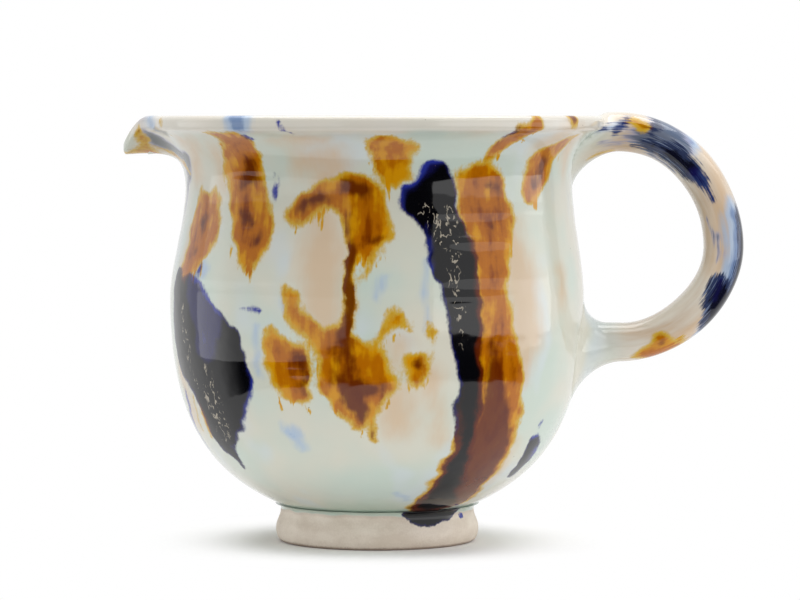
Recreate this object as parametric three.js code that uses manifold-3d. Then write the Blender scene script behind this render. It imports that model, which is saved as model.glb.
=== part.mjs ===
// Tea pitcher: a thrown bowl with a flared neck, a beak let into a notch of the rim, a pulled
// loop handle and a turned foot. Each piece is formed by itself and luted on with slip.
// Millimetres, +Z up, standing on Z = 0. The beak points along -X and the handle along +X.
import * as THREE from "three";
import { mergeVertices } from "three/addons/utils/BufferGeometryUtils.js";
import Module from "manifold-3d";

const wasm = await Module();
wasm.setup();

// Heights of the thrown bowl, stacked from the table upwards
const floorHeight = 5; // underside of the bowl above the table, inside the foot
const bowlRise = 40; // underside to the widest ring of the belly
const shoulderRise = 22; // widest ring to the neck
const flareRise = 13; // neck to the top of the rim

// Outside radii
const floorRadius = 13; // flat of the underside
const bellyRadius = 38.9;
const neckRadius = 36.4;
const rimRadius = 42.8;

// Wall and rim
const wall = 3.2;
const floorThickness = 3.8;
const rimBand = 2.7; // upright outer face of the rim
const rimThickness = 3.4;
const rimRound = 1.1; // rounding of the rim's edges

// Bezier reaches that set how full each stretch of the wall is
const floorLift = THREE.MathUtils.degToRad(18.7); // slope at which the wall leaves the floor
const floorReach = 16.8;
const bellyReach = 25.7;
const shoulderReach = 8;
const neckReach = 5.5;
const flareSpread = 3.4; // how far the flare runs outwards just under the rim

// Foot ring
const footTopRadius = 18.2;
const footTopHeight = 7; // where its outside turns upright, under the bowl
const footEdgeRadius = 19.1; // widest line, near the table
const footEdgeHeight = 2.4;
const footRestInner = 14.6; // the flat ring that stands on the table
const footRestOuter = 17.6;
const footHoleRadius = 13.9;
const footHoleRound = 2.5; // height of the rounding inside the ring

// Beak
const beakReach = 4.9; // how far its tip stands out past the rim
const beakDip = 4.6; // how far its tip hangs below the rim
const beakHalfWidth = 12; // from its middle to where the rim is round again
const channelHalfWidth = 8; // from its middle to where the rim is level again
const beakRise = 7.3; // height of the flare below the rim band that is drawn out

// Notch of the wall that the beak is let into
const notchMargin = 1.2; // wall cut away beyond the beak's pull, each side
const notchDepth = 14; // rim's top to the bottom of the notch
const notchCorner = 6.5;

// Handle, set by the centre line of its strap
const loopReach = 30; // belly to the outermost point of the loop
const upperRootDrop = 3.5; // rim's top down to the middle of the upper root
const waistDrop = 24.6; // rim's top down to the outermost point
const lowerRootDrop = 42.6; // rim's top down to the middle of the lower root
const upperRootRadius = 40.5; // where the strap leaves the flare
const upperRootLift = THREE.MathUtils.degToRad(11.5);
const upperRootPull = 15.8; // Bezier reaches, from the upper root round to the lower one
const upperWaistPull = 11.2;
const lowerWaistPull = 9;
const lowerRootPull = 9.6;
const lowerRootRun = 7.1; // straight run of the strap, past the belly
const strapThickness = 7.4; // in the plane of the loop
const strapWidth = 9.2; // across it
const strapFullness = 2.3; // 2 is an oval section, more is squarer

// Clay worked into the corners of the roots: how far out from the wall it starts, on each side
const upperRootSideClay = 5;
const upperRootUnderClay = 6;
const lowerRootTopClay = 3.5;
const lowerRootSideClay = 5;
const lowerRootUnderClay = 7;

const luteGap = 0.3; // slip joint between two pieces
const overrun = 5; // how far blanks and cutters run past the surface they meet

// Facets
const bodySteps = 60;
const footSteps = 72;
const beakSteps = 180; // round a whole turn, of which the beak takes a narrow share
const strapSteps = 44;
const strapSides = 24;
const outerCurveSteps = 12;
const innerCurveSteps = 8;
const footCurveSteps = 5;
const roundSteps = 3; // roundings of the rim
const notchCornerSteps = 8;

const bellyHeight = floorHeight + bowlRise;
const neckHeight = bellyHeight + shoulderRise;
const rimHeight = neckHeight + flareRise;
const bandHeight = rimHeight - rimBand;

// Outside of the thrown wall, from the middle of the underside up to the rim's upper edge
function outerWall() {
  const path = new THREE.Path();
  path.moveTo(0, floorHeight);
  path.lineTo(floorRadius, floorHeight);
  path.bezierCurveTo(
    floorRadius + floorReach * Math.cos(floorLift),
    floorHeight + floorReach * Math.sin(floorLift),
    bellyRadius, bellyHeight - bellyReach,
    bellyRadius, bellyHeight,
  );
  path.bezierCurveTo(
    bellyRadius, bellyHeight + shoulderReach,
    neckRadius, neckHeight - shoulderReach,
    neckRadius, neckHeight,
  );
  path.bezierCurveTo(
    neckRadius, neckHeight + neckReach,
    rimRadius - flareSpread, bandHeight - rimRound,
    rimRadius - rimRound / 2, bandHeight,
  );
  path.lineTo(rimRadius, bandHeight + rimRound / 2);
  path.lineTo(rimRadius, rimHeight - rimRound);
  path.absarc(rimRadius - rimRound, rimHeight - rimRound, rimRound, 0, Math.PI / 2, false);
  return path;
}

// Inside of the vessel, from the rim's upper edge down to the middle of the floor
function innerWall() {
  const lip = rimRadius - rimThickness;
  const insideFloor = floorHeight + floorThickness;
  const path = new THREE.Path();
  path.moveTo(lip + rimRound, rimHeight);
  path.absarc(lip + rimRound, rimHeight - rimRound, rimRound, Math.PI / 2, Math.PI, false);
  path.bezierCurveTo(
    lip - flareSpread / 2, bandHeight - rimRound,
    neckRadius - wall, neckHeight + neckReach,
    neckRadius - wall, neckHeight,
  );
  path.bezierCurveTo(
    neckRadius - wall, neckHeight - shoulderReach,
    bellyRadius - wall, bellyHeight + shoulderReach,
    bellyRadius - wall, bellyHeight,
  );
  path.bezierCurveTo(
    bellyRadius - wall, bellyHeight - bellyReach,
    floorRadius + floorReach - wall, insideFloor,
    floorRadius, insideFloor,
  );
  path.lineTo(0, insideFloor);
  return path;
}

// Foot ring before the bowl's seat is cut into it, closed on itself
function footProfile() {
  const top = footTopHeight + overrun;
  const path = new THREE.Path();
  path.moveTo(footRestInner, 0);
  path.lineTo(footRestOuter, 0);
  path.quadraticCurveTo(footEdgeRadius, 0, footEdgeRadius, footEdgeHeight);
  path.quadraticCurveTo(footEdgeRadius, 2 * footEdgeHeight, footTopRadius, footTopHeight);
  path.lineTo(footTopRadius, top);
  path.lineTo(footHoleRadius, top);
  path.lineTo(footHoleRadius, footHoleRound);
  path.quadraticCurveTo(footHoleRadius, 0, footRestInner, 0);
  return path;
}

// A path's points: straight stretches stay whole, roundings take a few steps, curves take more
function sample(path, curveSteps) {
  const points = [];
  for (const curve of path.curves) {
    const steps = curve.isLineCurve ? 1 : curve.isEllipseCurve ? roundSteps : curveSteps;
    for (let i = 0; i <= steps; i++) {
      const point = curve.getPoint(i / steps);
      if (!points.length || point.distanceTo(points.at(-1)) > 1e-4) points.push(point);
    }
  }
  return points;
}

const outerPoints = sample(outerWall(), outerCurveSteps);
const innerPoints = sample(innerWall(), innerCurveSteps);

// Outside radius of the wall at a height
function wallRadius(height) {
  const next = outerPoints.findIndex((point) => point.y > height);
  if (next < 1) return next < 0 ? rimRadius : 0;
  const [low, high] = outerPoints.slice(next - 1, next + 1);
  return THREE.MathUtils.mapLinear(height, low.y, high.y, low.x, high.x);
}

// three.js geometry to a manifold-3d solid, and back
function solid(geometry) {
  const bare = geometry.clone();
  bare.deleteAttribute("normal");
  bare.deleteAttribute("uv");
  const merged = mergeVertices(bare, 1e-4);
  return new wasm.Manifold(
    new wasm.Mesh({
      numProp: 3,
      vertProperties: merged.attributes.position.array,
      triVerts: new Uint32Array(merged.index.array),
    }),
  );
}

function geometryOf(made) {
  const mesh = made.getMesh();
  const geometry = new THREE.BufferGeometry();
  geometry.setAttribute("position", new THREE.BufferAttribute(mesh.vertProperties, 3));
  geometry.setIndex(new THREE.BufferAttribute(mesh.triVerts, 1));
  geometry.computeVertexNormals();
  return geometry;
}

// A profile turned about Z. LatheGeometry turns about Y, so it is stood up afterwards.
function turned(points, steps) {
  return new THREE.LatheGeometry(points, steps).rotateX(Math.PI / 2);
}

// A soft bell across the beak: 1 at its middle, 0 from halfWidth on
function bell(across, halfWidth) {
  const share = Math.min(1, Math.abs(across) / halfWidth);
  return Math.cos((share * Math.PI) / 2) ** 2;
}

// Draws the flare on the -X side outwards and down, more the nearer a point is to the rim
function pullBeak(geometry) {
  const position = geometry.attributes.position;
  const point = new THREE.Vector3();
  for (let i = 0; i < position.count; i++) {
    point.fromBufferAttribute(position, i);
    if (point.x >= 0) continue;
    const share = THREE.MathUtils.clamp(1 + (point.z - bandHeight) / beakRise, 0, 1);
    const pull = share * share;
    const out = beakReach * pull * bell(point.y, beakHalfWidth);
    const radius = Math.hypot(point.x, point.y);
    const dip = beakDip * pull * bell(point.y, channelHalfWidth);
    point.x *= 1 + out / radius;
    point.y *= 1 + out / radius;
    point.z -= dip;
    position.setXYZ(i, point.x, point.y, point.z);
  }
  return geometry;
}

// The slot along -X that takes the beak, round-bottomed, smaller all round by a clearance
function notch(clearance) {
  const half = beakHalfWidth + notchMargin - clearance;
  const bottom = rimHeight - notchDepth + clearance;
  const top = rimHeight + overrun;
  const corner = notchCorner - clearance;
  const shape = new THREE.Shape();
  shape.moveTo(half, top);
  shape.lineTo(-half, top);
  shape.lineTo(-half, bottom + corner);
  shape.absarc(-half + corner, bottom + corner, corner, Math.PI, 1.5 * Math.PI, false);
  shape.absarc(half - corner, bottom + corner, corner, 1.5 * Math.PI, 2 * Math.PI, false);
  const geometry = new THREE.ExtrudeGeometry(shape, {
    depth: rimRadius + beakReach + overrun,
    bevelEnabled: false,
    curveSegments: notchCornerSteps,
  });
  return solid(geometry.rotateX(Math.PI / 2).rotateZ(-Math.PI / 2));
}

// Centre line of the handle in the XZ plane, from inside the flare round to inside the belly
function strapLine() {
  const at = (x, z) => new THREE.Vector3(x, 0, z);
  const along = (point, angle, reach) =>
    at(point.x + reach * Math.cos(angle), point.z + reach * Math.sin(angle));
  const upper = at(upperRootRadius, rimHeight - upperRootDrop);
  const waist = at(bellyRadius + loopReach - strapThickness / 2, rimHeight - waistDrop);
  const lower = at(bellyRadius + lowerRootRun, rimHeight - lowerRootDrop);
  const path = new THREE.CurvePath();
  path.add(new THREE.LineCurve3(along(upper, upperRootLift, -overrun), upper));
  path.add(new THREE.CubicBezierCurve3(
    upper,
    along(upper, upperRootLift, upperRootPull),
    along(waist, Math.PI / 2, upperWaistPull),
    waist,
  ));
  path.add(new THREE.CubicBezierCurve3(
    waist,
    along(waist, -Math.PI / 2, lowerWaistPull),
    along(lower, 0, lowerRootPull),
    lower,
  ));
  path.add(new THREE.LineCurve3(lower, at(bellyRadius - overrun, lower.z)));
  return path;
}

// How far the clay of a root stands out at a distance from the wall: a curve that runs on
// inside the wall, so that the cut back to the wall leaves no thin edge
function flare(distance, reach) {
  const share = THREE.MathUtils.clamp(1 - distance / reach, 0, 2);
  return reach > 0 ? (share * share * reach) / 2 : 0;
}

// One section of the strap, square to the centre line, with its clay towards the wall
function strapRing(centre, tangent, root) {
  const outward = new THREE.Vector3(-tangent.z, 0, tangent.x);
  const across = new THREE.Vector3(0, 1, 0);
  const rounded = (value) => Math.sign(value) * Math.abs(value) ** (2 / strapFullness);
  return Array.from({ length: strapSides }, (_, side) => {
    const angle = (side / strapSides) * 2 * Math.PI;
    const up = rounded(Math.sin(angle));
    const point = centre.clone()
      .addScaledVector(outward, (up * strapThickness) / 2)
      .addScaledVector(across, (rounded(Math.cos(angle)) * strapWidth) / 2);
    const edge = up > 0 ? root.outside : root.inside;
    const reach = THREE.MathUtils.lerp(root.across, edge, Math.abs(Math.sin(angle)));
    const distance = Math.hypot(point.x, point.y) - wallRadius(point.z);
    const away = point.clone().sub(centre).normalize();
    return point.addScaledVector(away, flare(distance, reach));
  });
}

// A solid lofted through closed rings of points, with a fan over each end
function loft(rings) {
  const sides = rings[0].length;
  const middles = [rings[0], rings.at(-1)].map((ring) =>
    ring.reduce((sum, point) => sum.add(point), new THREE.Vector3()).divideScalar(sides),
  );
  const positions = [...rings.flat(), ...middles].flatMap((point) => point.toArray());
  const firstMiddle = rings.length * sides;
  const lastRing = firstMiddle - sides;
  const index = [];
  for (let i = 0; i < sides; i++) {
    const next = (i + 1) % sides;
    for (let low = 0; low < lastRing; low += sides) {
      const high = low + sides;
      index.push(low + i, low + next, high + next, low + i, high + next, high + i);
    }
    index.push(firstMiddle, next, i, firstMiddle + 1, lastRing + i, lastRing + next);
  }
  const geometry = new THREE.BufferGeometry();
  geometry.setAttribute("position", new THREE.Float32BufferAttribute(positions, 3));
  geometry.setIndex(index);
  return solid(geometry);
}

function strap() {
  const line = strapLine();
  const upperRoot = { outside: 0, across: upperRootSideClay, inside: upperRootUnderClay };
  const lowerRoot = {
    outside: lowerRootUnderClay, across: lowerRootSideClay, inside: lowerRootTopClay,
  };
  const rings = [];
  for (let step = 0; step <= strapSteps; step++) {
    const share = step / strapSteps;
    const root = share < 0.5 ? upperRoot : lowerRoot;
    rings.push(strapRing(line.getPointAt(share), line.getTangentAt(share), root));
  }
  return loft(rings);
}

// The room that the vessel takes up with its slip: closed over the mouth, its rim left square
function vesselRoom() {
  const grown = outerPoints.map((point, i) => {
    const before = outerPoints[Math.max(i - 1, 0)];
    const after = outerPoints[Math.min(i + 1, outerPoints.length - 1)];
    const along = after.clone().sub(before).normalize();
    const radius = i === 0 ? 0 : point.x + along.y * luteGap;
    return new THREE.Vector2(radius, point.y - along.x * luteGap);
  });
  const outline = grown.filter((point) => point.y < rimHeight - rimRound);
  const top = rimHeight + overrun;
  outline.push(new THREE.Vector2(rimRadius + luteGap, top), new THREE.Vector2(0, top));
  return solid(turned(outline, bodySteps));
}

const blank = [...outerPoints, ...innerPoints];
blank.at(-1).x = 0;
const room = vesselRoom();
const footBlank = sample(footProfile(), footCurveSteps);
footBlank.push(footBlank[0].clone());

const body = solid(turned(blank, bodySteps)).subtract(notch(0));
const beak = solid(pullBeak(turned(blank, beakSteps))).intersect(notch(luteGap));
const handle = strap().subtract(room);
const foot = solid(turned(footBlank, footSteps)).subtract(room);

const glaze = new THREE.MeshStandardMaterial({ color: "#d5dcd2", roughness: 0.12 });
const clay = new THREE.MeshStandardMaterial({ color: "#d9c9bb", roughness: 0.75 });

// The origin is the middle of the whole outline on the table
const pitcher = new THREE.Group();
pitcher.position.x = (rimRadius + beakReach - (bellyRadius + loopReach)) / 2;

function addPiece(name, made, material) {
  const piece = new THREE.Mesh(geometryOf(made), material);
  piece.name = name;
  pitcher.add(piece);
}

addPiece("thrown_body", body, glaze);
addPiece("pouring_beak", beak, glaze);
addPiece("loop_handle", handle, glaze);
addPiece("foot_ring", foot, clay);

export default pitcher;
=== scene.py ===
from bisect import bisect
import math

import bmesh
import bpy
from mathutils import Matrix, Vector, noise
from mathutils.geometry import interpolate_bezier


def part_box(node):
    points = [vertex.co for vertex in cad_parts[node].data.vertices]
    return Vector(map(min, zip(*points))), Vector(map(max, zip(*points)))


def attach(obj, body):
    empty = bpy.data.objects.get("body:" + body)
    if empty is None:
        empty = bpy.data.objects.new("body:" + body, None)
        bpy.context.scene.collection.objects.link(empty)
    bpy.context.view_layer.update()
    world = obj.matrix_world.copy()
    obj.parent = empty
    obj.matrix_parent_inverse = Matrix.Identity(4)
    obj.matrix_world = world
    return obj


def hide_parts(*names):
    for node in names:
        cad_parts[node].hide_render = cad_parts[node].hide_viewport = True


# Tea pitcher on a pale table. Each piece is worked out in millimetres from the bowl's axis, with the beak
# along -X and the handle along +X, and is put in its place in the row, in metres, when it is done.

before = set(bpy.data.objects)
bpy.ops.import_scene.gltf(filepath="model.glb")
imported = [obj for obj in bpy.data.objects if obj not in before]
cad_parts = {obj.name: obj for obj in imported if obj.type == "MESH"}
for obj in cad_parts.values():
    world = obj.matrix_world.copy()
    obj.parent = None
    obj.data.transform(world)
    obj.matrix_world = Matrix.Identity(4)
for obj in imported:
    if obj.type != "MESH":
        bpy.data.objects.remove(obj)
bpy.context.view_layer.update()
print("frame loaded:", len(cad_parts), "nodes")
noise.seed_set(3)  # noise_vector starts from the clock without it
footLow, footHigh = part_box("foot_ring")
bowlAxis = Vector(((footLow.x + footHigh.x) / 2, 0, 0))
toRow = Matrix.Translation(bowlAxis) @ Matrix.Scale(0.001, 4)


def ease(low, high, value):  # 0 below low, 1 above high, smooth between
    share = min(1, max(0, (value - low) / (high - low)))
    return share * share * (3 - 2 * share)


def curve(*corners, count=24):  # a Bezier stretch of a profile, from (radius, height) corners
    return [Vector(p) for p in interpolate_bezier(*[Vector((*c, 0)) for c in corners], count)]


def spin(bm, verts, turns):  # turns a line of vertices once round the axis
    edges = [bm.edges.new(pair) for pair in zip(verts, verts[1:])]
    bmesh.ops.spin(bm, geom=verts + edges, cent=(0, 0, 0), axis=(0, 0, 1), angle=2 * math.pi, steps=turns,
                   use_merge=True)
    bmesh.ops.remove_doubles(bm, verts=bm.verts, dist=1e-4)
    bmesh.ops.recalc_face_normals(bm, faces=bm.faces)


def smooth(bm):
    for face in bm.faces:
        face.smooth = True


def show(thing):
    bpy.context.scene.collection.objects.link(thing)
    return thing


def finishPiece(bm, name):
    bmesh.ops.transform(bm, matrix=toRow, verts=bm.verts)
    mesh = bpy.data.meshes.new(name)
    bm.to_mesh(mesh)
    bm.free()
    return show(bpy.data.objects.new(name, mesh))


# the thrown wall

wall = {
    "floorHeight": 5, "floorRadius": 13, "floorThickness": 3.8, "floorLift": 18.7, "floorReach": 16.8,
    "bellyHeight": 45, "bellyRadius": 38.9, "bellyReach": 25.7, "shoulderReach": 8,
    "neckHeight": 67, "neckRadius": 36.4, "neckReach": 5.5,
    "rimHeight": 80, "rimRadius": 42.8, "rimBand": 2.7, "rimThickness": 3.4, "rimRound": 1.1, "flareSpread": 3.4,
    "thickness": 3.2,
    "turns": 288,  # columns of faces round the bowl
    "lipSteps": 7,  # points on each rounded edge of the rim
    "hang": 1.5, "hangLoss": 0.8,  # how far down the inside the marks hang whole, and how fast they then end
    "lean": 0.35, "leanFrom": (45, 64), "leanTo": (66, 76),  # how far the neck is off the axis, and at what heights
    "workedFrom": (8, 24), "workedTo": (72, 77),  # the hands' work fades in and out at these heights
    "wobble": 0.12, "wobbleGrain": (1.6, 0.05),  # how far, and how fast round the bowl and up it
    # the rings' strength, how much it changes, its least, and their tilt
    "ringDepth": 0.8, "ringChange": 0.9, "ringLeast": 0.1, "ringGrain": (1.3, 0.11), "ringTilt": 0.35,
    # throwing rings: height, how proud, half width
    "rings": [(70.6, 0.05, 0.9), (66.2, -0.04, 1.2), (62.6, 0.05, 0.8), (57.2, 0.04, 0.9), (54.4, -0.04, 1),
              (50.2, 0.04, 0.8), (47.2, 0.05, 0.8), (41, 0.04, 1.1), (35.6, 0.05, 0.8), (27.5, 0.04, 1.2)],
    # ridges that a finger left: degrees round, half their length in degrees, height, how proud, half width
    "ridges": [(27, 14, 62.6, 0.22, 1.1), (29, 12, 57.6, 0.28, 1.2), (29, 11, 51, 0.2, 1.1), (27, 16, 47.4, 0.08, 1),
               (-38, 12, 69.2, 0.12, 0.7), (-40, 14, 60.4, 0.1, 0.8), (-20, 10, 34, 0.1, 0.7),
               (148, 12, 58, 0.18, 0.8), (-170, 16, 49.6, 0.16, 0.7), (-136, 12, 62.4, 0.14, 0.8),
               (112, 14, 44, 0.14, 0.7)],
}
beak = {
    "reach": 4.9, "dip": 4.6, "halfWidth": 12, "channelHalfWidth": 8, "rise": 7.3,
    "columns": 15, "jointHeight": 66,  # columns each side of its middle, and the lower end of its joint
}
beakTurn = beak["columns"] * 2 * math.pi / wall["turns"]  # half of the turn that the beak takes up


def outerLine():
    w = wall
    floor, belly, neck, rim = w["floorRadius"], w["bellyRadius"], w["neckRadius"], w["rimRadius"]
    low, middle, high, band = w["floorHeight"], w["bellyHeight"], w["neckHeight"], w["rimHeight"] - w["rimBand"]
    lift, lip = math.radians(w["floorLift"]), (rim - 0.7, band - 0.1)
    start = (floor + w["floorReach"] * math.cos(lift), low + w["floorReach"] * math.sin(lift))
    return [
        *curve((floor, low), start, (belly, middle - w["bellyReach"]), (belly, middle), count=90),
        *curve((belly, middle), (belly, middle + w["shoulderReach"]), (neck, high - w["shoulderReach"]), (neck, high),
               count=60)[1:],
        *curve((neck, high), (neck, high + w["neckReach"]), (rim - w["flareSpread"], band - 1.1), lip, count=30)[1:],
        *curve(lip, (rim - 0.2, band + 0.1), (rim, band + 0.4), (rim, band + 0.9), count=6)[1:],
    ]


def innerLine():  # from the rim's outer edge over the lip and down to the floor
    w = wall
    neck, belly = w["neckRadius"] - w["thickness"], w["bellyRadius"] - w["thickness"]
    rim, lip, floor = w["rimRadius"], w["rimRadius"] - w["rimThickness"], w["floorRadius"]
    low, middle, high, top = w["floorHeight"] + w["floorThickness"], w["bellyHeight"], w["neckHeight"], w["rimHeight"]
    turn, soft, steps = w["rimRound"], w["rimRound"] * 0.55, w["lipSteps"]
    return [
        *curve((rim, top - turn), (rim, top - turn + soft), (rim - turn + soft, top), (rim - turn, top), count=steps),
        *curve((lip + turn, top), (lip + turn - soft, top), (lip, top - turn + soft), (lip, top - turn), count=steps),
        *curve((lip, top - turn), (lip - 1.7, top - w["rimBand"] - turn), (neck, high + w["neckReach"]), (neck, high),
               count=22)[1:],
        *curve((neck, high), (neck, high - w["shoulderReach"]), (belly, middle + w["shoulderReach"]), (belly, middle),
               count=20)[1:],
        *curve((belly, middle), (belly, middle - w["bellyReach"]), (floor + 13.6, low), (floor, low), count=30)[1:],
    ]


outside, inside = outerLine(), innerLine()
heights = [point.y for point in outside]
walked = [0]  # distance along the outer line from the floor's edge
for low, high in zip(outside, outside[1:]):
    walked.append(walked[-1] + (high - low).length)


def onWall(height):  # radius of the outer wall at a height, and how far up the line that is
    if height < outside[0].y:
        return wall["floorRadius"], height - outside[0].y
    if height >= outside[-1].y:
        return wall["rimRadius"], walked[-1] + height - outside[-1].y
    number = bisect(heights, height) - 1
    low, high = outside[number:number + 2]
    share = (height - low.y) / (high.y - low.y)
    return low.x + (high.x - low.x) * share, walked[number] + (high - low).length * share


# where the glazes were laid: strokes of (degrees round the bowl from its front, height, half width), in mm.
# 0 faces the viewer, 90 is at the handle and -90 at the beak. A half width below 0 leaves only a ragged trace.

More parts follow.
